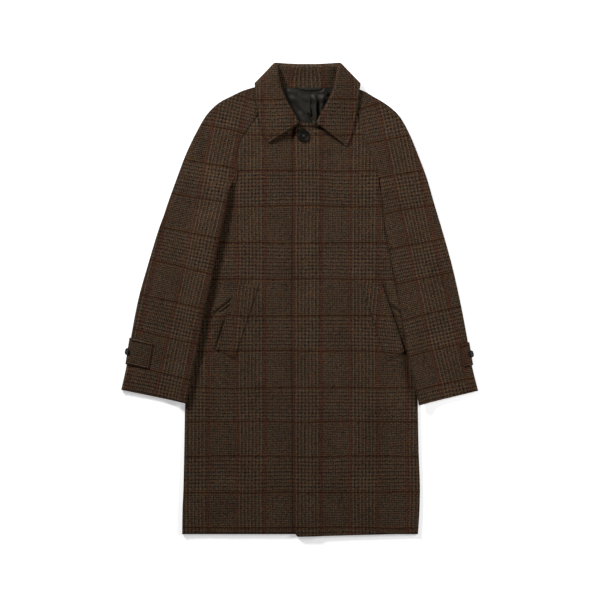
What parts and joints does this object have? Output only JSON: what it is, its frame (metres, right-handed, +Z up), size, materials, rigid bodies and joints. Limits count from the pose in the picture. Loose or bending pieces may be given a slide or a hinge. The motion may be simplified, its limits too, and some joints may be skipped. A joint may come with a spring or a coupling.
{
  "type": "balmacaan coat",
  "caption": "Thigh-length wool coat with raglan sleeves, a covered fly front, slanted welt pockets and a turned-down collar, fastened and laid flat on its back.",
  "frame": {"origin": "on the floor under the middle of the whole coat's box, on the underside of the back", "axes": "+Y from the hem to the collar, +X towards the wearer's left, +Z up from the floor"},
  "size_m": [0.822, 1.0908, 0.0237],
  "materials": {
    "wool": "thick brushed wool in a brown glen check",
    "lining": "soft satin sheen",
    "button": "dull horn-like gloss"
  },
  "bodies": {
    "root": {"back": "wool", "right_front": "wool", "left_front": "wool", "right_sleeve_front": "wool", "left_sleeve_front": "wool", "right_sleeve_back": "wool", "left_sleeve_back": "wool", "collar_fall": "wool", "collar_stand": "wool", "right_pocket_welt": "wool", "left_pocket_welt": "wool", "right_cuff_strap": "wool", "left_cuff_strap": "wool", "neck_lining": "lining", "hanger_loop": "lining", "top_button": "button", "right_cuff_button": "button", "left_cuff_button": "button"}
  },
  "joints": []
}
